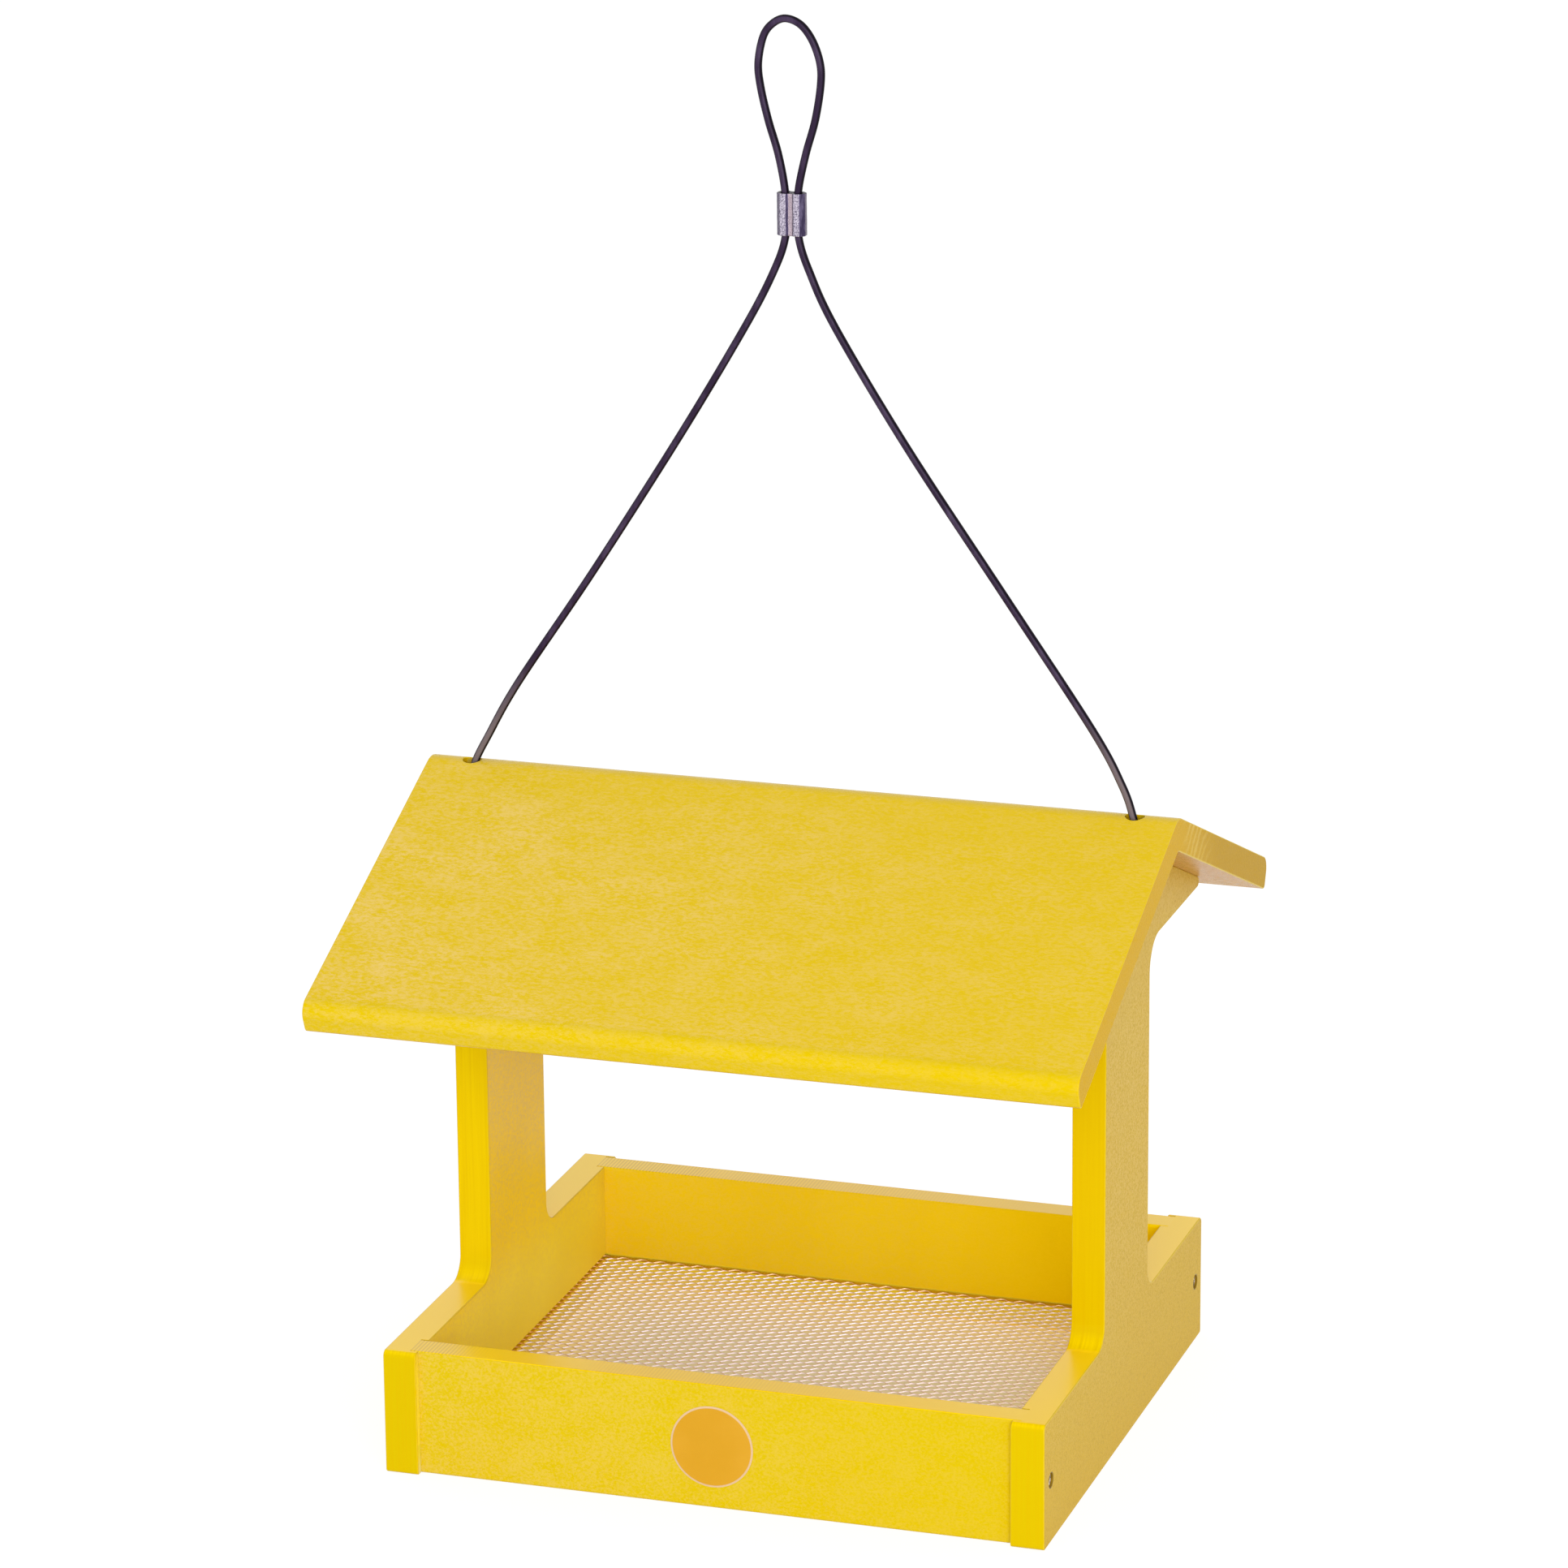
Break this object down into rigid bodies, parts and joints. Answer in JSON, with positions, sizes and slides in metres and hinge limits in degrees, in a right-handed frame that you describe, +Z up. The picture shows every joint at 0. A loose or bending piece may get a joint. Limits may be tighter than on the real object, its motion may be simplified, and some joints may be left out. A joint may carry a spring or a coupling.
{
  "type": "fly-through bird feeder",
  "caption": "Hanging fly-through bird feeder: open tray with a screen floor between two gabled end panels, under a one-piece ridge roof on a looped cable.",
  "frame": {"origin": "middle of the tray's underside, on the surface that the feeder stands on", "axes": "+X along the ridge to the right, -Y to the front where the badge is, +Z up"},
  "size_m": [0.362, 0.3352, 0.6633],
  "materials": {
    "yellow_poly": "satin, faintly mottled and streaked along the board",
    "screen_metal": "mill finish expanded metal",
    "screw_steel": "bright",
    "cable_coating": "smooth vinyl coating with a soft shine",
    "sleeve_metal": "dull, rough where it was crimped",
    "badge_vinyl": "printed film, bare"
  },
  "bodies": {
    "root": {"left_end_panel": "yellow_poly", "right_end_panel": "yellow_poly", "front_rail": "yellow_poly", "back_rail": "yellow_poly", "floor_screen": "screen_metal", "rail_screws": "screw_steel", "roof": "yellow_poly", "hanger_cable": "cable_coating", "cable_ferrule": "sleeve_metal", "left_cable_stop": "sleeve_metal", "right_cable_stop": "sleeve_metal", "badge_disc": "badge_vinyl"}
  },
  "joints": []
}
